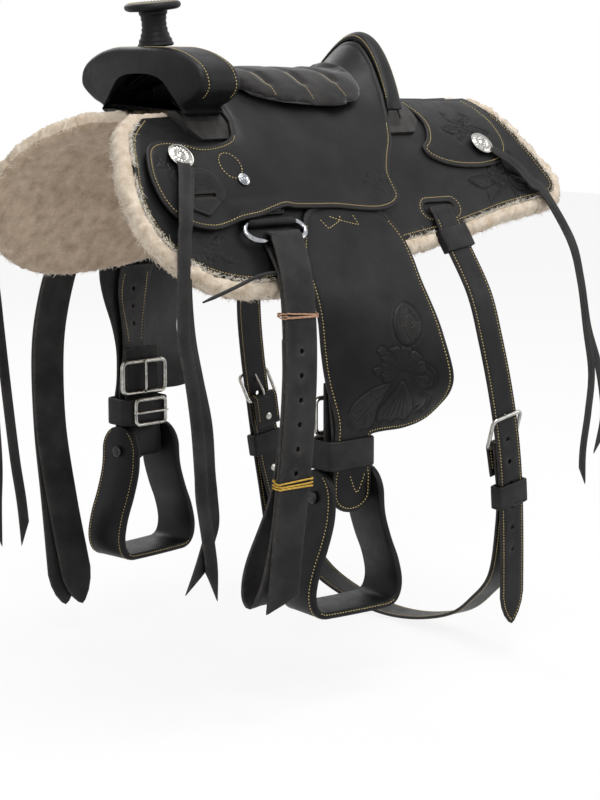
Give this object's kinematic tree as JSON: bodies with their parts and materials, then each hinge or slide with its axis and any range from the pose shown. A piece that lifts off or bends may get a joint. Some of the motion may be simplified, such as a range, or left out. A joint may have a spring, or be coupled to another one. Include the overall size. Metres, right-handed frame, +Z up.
{
  "type": "pony saddle",
  "caption": "Small western pony saddle with black tooled leather, cream fleece lining, horn, fenders with open stirrups, saddle strings, latigo, off billet and a flank cinch.",
  "frame": {"origin": "top of the horse's back under the middle of the saddle, on the underside of the fleece", "axes": "-X towards the horse's head, +X towards its tail, -Y the near (left) side, +Y the off side, +Z up"},
  "size_m": [0.6348, 0.4598, 0.7057],
  "materials": {
    "leather_black": "tooled black leather, satin",
    "leather_strap": "plain black strap leather",
    "suede_black": "black suede seat",
    "fleece_cream": "cream fleece pile",
    "chrome": "polished",
    "nickel": "bright nickel plate",
    "steel_plain": "plain steel",
    "wood_pale": "bare pale wood under rawhide",
    "rubber_tan": "tan rubber",
    "rubber_yellow": "yellow rubber"
  },
  "bodies": {
    "saddle": {"cantle_back": "leather_black", "cantle_binding": "leather_black", "fleece_near": "fleece_cream", "fleece_off": "fleece_cream", "front_jockey_near": "leather_black", "front_jockey_off": "leather_black", "horn": "leather_black", "horn_cap": "leather_black", "jockey_screw_near": "chrome", "jockey_screw_off": "chrome", "leather_upper_near": "leather_strap", "leather_upper_off": "leather_strap", "rear_jockey_near": "leather_black", "rear_jockey_off": "leather_black", "rigging_strap_near": "leather_black", "rigging_strap_off": "leather_black", "rosette_near": "leather_black", "rosette_off": "leather_black", "seat_leather": "leather_black", "seat_pad": "suede_black", "skirt_near": "leather_black", "skirt_off": "leather_black", "swell_cover": "leather_black", "tree": "wood_pale"},
    "dee_near": {"dee_near": "chrome"},
    "fender_near": {"fender_near": "leather_black", "stirrup_leather_near": "leather_strap", "leather_buckle_near": "nickel", "hobble_strap_near": "leather_strap", "hobble_buckle_near": "nickel"},
    "stirrup_near": {"stirrup_near": "leather_black", "stirrup_bolt_near": "steel_plain"},
    "strings_front_near": {"strings_front_near": "leather_strap", "concho_front_near": "nickel"},
    "strings_rear_near": {"strings_rear_near": "leather_strap", "concho_rear_near": "nickel"},
    "flank": {"flank_billet_near": "leather_black", "flank_keeper_near": "leather_strap", "flank_buckle_near": "nickel", "flank_billet_off": "leather_black", "flank_keeper_off": "leather_strap", "flank_buckle_off": "nickel", "flank_cinch": "leather_black"},
    "dee_off": {"dee_off": "chrome"},
    "fender_off": {"fender_off": "leather_black", "stirrup_leather_off": "leather_strap", "leather_buckle_off": "nickel", "hobble_strap_off": "leather_strap", "hobble_buckle_off": "nickel"},
    "stirrup_off": {"stirrup_off": "leather_black", "stirrup_bolt_off": "steel_plain"},
    "strings_front_off": {"strings_front_off": "leather_strap", "concho_front_off": "nickel"},
    "strings_rear_off": {"strings_rear_off": "leather_strap", "concho_rear_off": "nickel"},
    "latigo": {"latigo": "leather_strap", "band_tan": "rubber_tan", "band_yellow": "rubber_yellow"},
    "off_billet": {"off_billet": "leather_strap"}
  },
  "joints": [
    {"name": "dee_near_swing", "type": "hinge", "parent": "saddle", "child": "dee_near", "pos_m": [-0.122, -0.14145, -0.09795], "axis": [-1, 0, 0], "range_deg": [0, 45]},
    {"name": "latigo_swing", "type": "hinge", "parent": "dee_near", "child": "latigo", "pos_m": [-0.122, -0.15755, -0.11544], "axis": [-1, 0, 0], "range_deg": [0, 60]},
    {"name": "fender_near_swing", "type": "hinge", "parent": "saddle", "child": "fender_near", "pos_m": [-0.041, -0.14256, -0.10643], "axis": [0, -0.8829, 0.4695], "range_deg": [0, 14]},
    {"name": "stirrup_near_swing", "type": "hinge", "parent": "fender_near", "child": "stirrup_near", "pos_m": [-0.049, -0.16811, -0.37864], "axis": [0.9945, -0.1045, 0], "range_deg": [-30, 30]},
    {"name": "strings_front_near_lift", "type": "hinge", "parent": "saddle", "child": "strings_front_near", "pos_m": [-0.211, -0.09229, -0.01825], "axis": [-1, 0, 0], "range_deg": [0, 50]},
    {"name": "strings_rear_near_lift", "type": "hinge", "parent": "saddle", "child": "strings_rear_near", "pos_m": [0.222, -0.09108, -0.02298], "axis": [-1, 0, 0], "range_deg": [0, 50]},
    {"name": "dee_off_swing", "type": "hinge", "parent": "saddle", "child": "dee_off", "pos_m": [-0.122, 0.14145, -0.09795], "axis": [1, 0, 0], "range_deg": [0, 45]},
    {"name": "off_billet_swing", "type": "hinge", "parent": "dee_off", "child": "off_billet", "pos_m": [-0.122, 0.15755, -0.11544], "axis": [1, 0, 0], "range_deg": [0, 60]},
    {"name": "fender_off_swing", "type": "hinge", "parent": "saddle", "child": "fender_off", "pos_m": [-0.041, 0.14256, -0.10643], "axis": [0, -0.8829, -0.4695], "range_deg": [0, 14]},
    {"name": "stirrup_off_swing", "type": "hinge", "parent": "fender_off", "child": "stirrup_off", "pos_m": [-0.049, 0.16811, -0.37864], "axis": [0.9945, 0.1045, 0], "range_deg": [-30, 30]},
    {"name": "strings_front_off_lift", "type": "hinge", "parent": "saddle", "child": "strings_front_off", "pos_m": [-0.211, 0.09229, -0.01825], "axis": [1, 0, 0], "range_deg": [0, 50]},
    {"name": "strings_rear_off_lift", "type": "hinge", "parent": "saddle", "child": "strings_rear_off", "pos_m": [0.222, 0.09108, -0.02298], "axis": [1, 0, 0], "range_deg": [0, 50]},
    {"name": "flank_swing", "type": "hinge", "parent": "saddle", "child": "flank", "pos_m": [0.122, 0, -0.09641], "axis": [0, -1, 0], "range_deg": [0, 5]}
  ]
}
